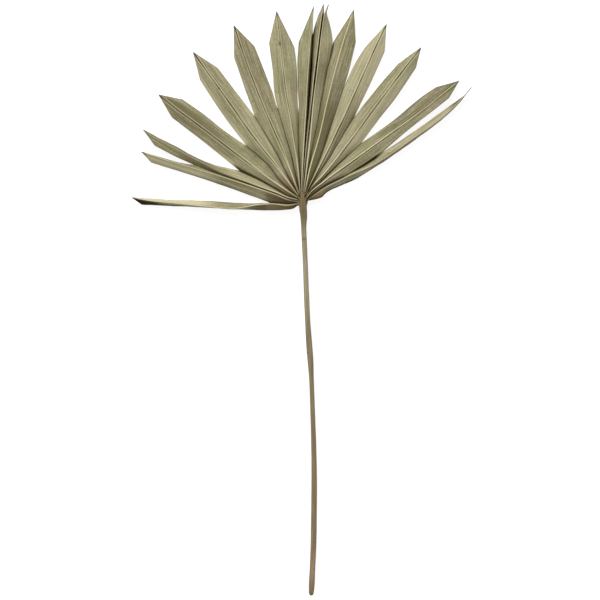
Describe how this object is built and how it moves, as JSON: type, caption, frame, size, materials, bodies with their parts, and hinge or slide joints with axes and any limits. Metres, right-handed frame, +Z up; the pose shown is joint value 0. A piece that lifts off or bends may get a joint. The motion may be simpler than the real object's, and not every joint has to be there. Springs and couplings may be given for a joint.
{
  "type": "dried palm leaf",
  "caption": "Dried, trimmed fan-palm leaf on a short stalk, lying face down: a pleated half-round fan of spear-shaped segments, for dried flower arrangements.",
  "frame": {"origin": "centre of the bounding box's footprint, on the surface that the leaf lies on", "axes": "+Y along the leaf, from the cut end of the stalk to the fan; +X to the right with the leaf seen from above; +Z up, away from the surface"},
  "size_m": [0.4028, 0.6997, 0.0158],
  "materials": {
    "dried_leaf": "matte",
    "dried_stalk": "satin"
  },
  "bodies": {
    "root": {"blade": "dried_leaf", "stem": "dried_stalk"}
  },
  "joints": []
}
